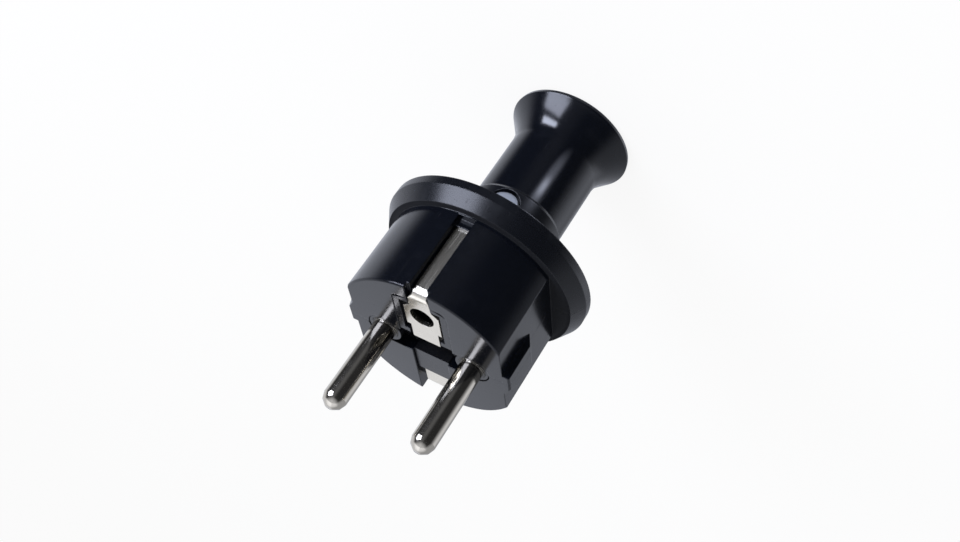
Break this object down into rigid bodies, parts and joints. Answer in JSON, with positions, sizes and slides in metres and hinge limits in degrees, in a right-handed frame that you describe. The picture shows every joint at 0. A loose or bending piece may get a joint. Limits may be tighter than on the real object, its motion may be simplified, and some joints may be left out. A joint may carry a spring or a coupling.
{
  "type": "type f plug",
  "caption": "Rewirable earthed mains plug with round pins, side earth contacts, an earth socket in its face, a round flange and a flared cable mouth.",
  "frame": {"origin": "centre of the rim of the cable mouth, on which the plug stands", "axes": "+Z along the axis of the body towards the tips of the pins; -Y towards the side with the earth socket; X across the two pins"},
  "size_m": [0.044, 0.044, 0.0765],
  "materials": {
    "black_plastic": "glossy black moulded thermoplastic",
    "inner_plastic": "satin black moulded thermoplastic",
    "nickel_brass": "bright nickel plate on brass",
    "tinned_brass": "satin tin plate on brass strip",
    "terminal_brass": "plain brass",
    "zinc_steel": "bright zinc plate on steel"
  },
  "bodies": {
    "root": {"front_shell": "black_plastic", "rear_shell": "black_plastic", "contact_carrier": "inner_plastic", "cord_clamp_bar": "inner_plastic", "pin_left": "nickel_brass", "pin_right": "nickel_brass", "front_earth_contact": "tinned_brass", "rear_earth_contact": "tinned_brass", "earth_socket": "tinned_brass", "earth_terminal": "terminal_brass", "earth_rivet_front": "terminal_brass", "earth_rivet_rear": "terminal_brass", "earth_socket_ring": "zinc_steel", "clamp_washer_left": "zinc_steel", "clamp_washer_right": "zinc_steel", "clamp_washer_earth": "zinc_steel", "terminal_screw_left": "zinc_steel", "terminal_screw_right": "zinc_steel", "terminal_screw_earth": "zinc_steel", "housing_screw": "zinc_steel", "housing_nut": "zinc_steel", "cord_clamp_screw_left": "zinc_steel", "cord_clamp_screw_right": "zinc_steel"}
  },
  "joints": []
}
